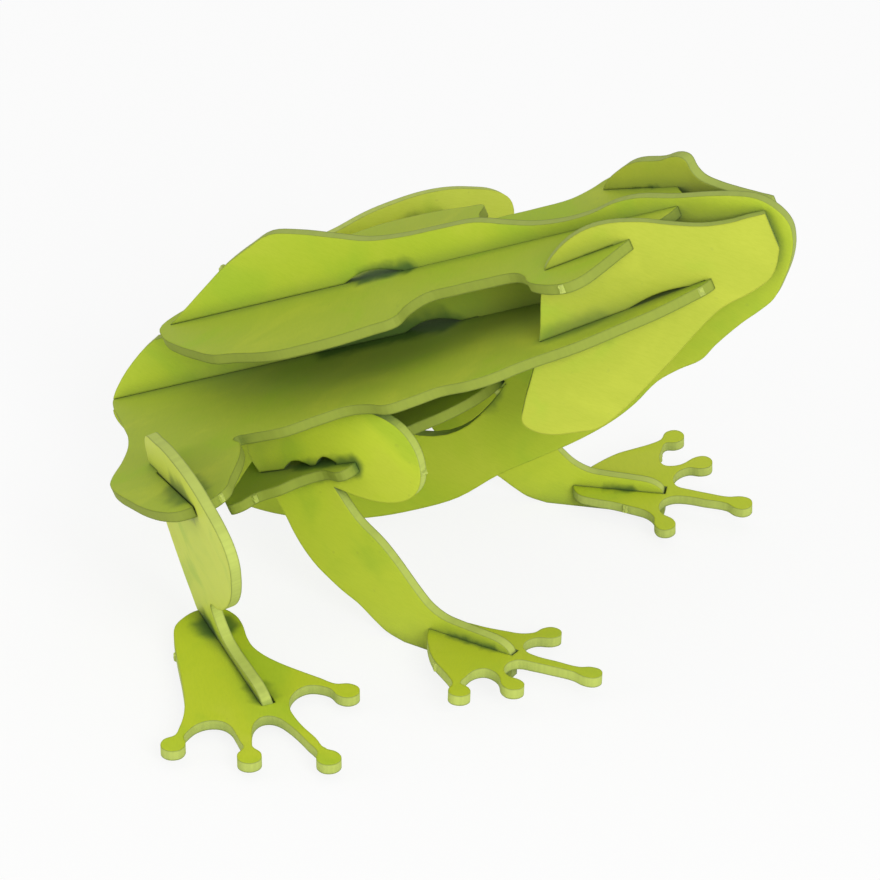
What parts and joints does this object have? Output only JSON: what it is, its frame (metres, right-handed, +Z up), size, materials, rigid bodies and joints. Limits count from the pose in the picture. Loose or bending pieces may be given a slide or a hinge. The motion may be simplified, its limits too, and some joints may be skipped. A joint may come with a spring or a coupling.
{
  "type": "papercraft frog",
  "caption": "Slot-together frog of flat green board plates: an upright profile crossed by sloping decks and cheeks, standing on legs with flat splayed feet.",
  "frame": {"origin": "centre of the bounding box on the ground that the four leg soles stand on", "axes": "+X forward along the profile, towards the nose; +Y to the frog's left; +Z up"},
  "size_m": [0.0659, 0.079, 0.0451],
  "materials": {
    "board": "matte, dyed green, fine paper grain"
  },
  "bodies": {
    "root": {"profile": "board", "back_deck": "board", "main_deck": "board", "belly_deck": "board", "cheek_right": "board", "cheek_left": "board", "foreleg_right": "board", "foreleg_left": "board", "forefoot_right": "board", "forefoot_left": "board", "hindleg_right": "board", "hindleg_left": "board", "hindfoot_right": "board", "hindfoot_left": "board"}
  },
  "joints": []
}
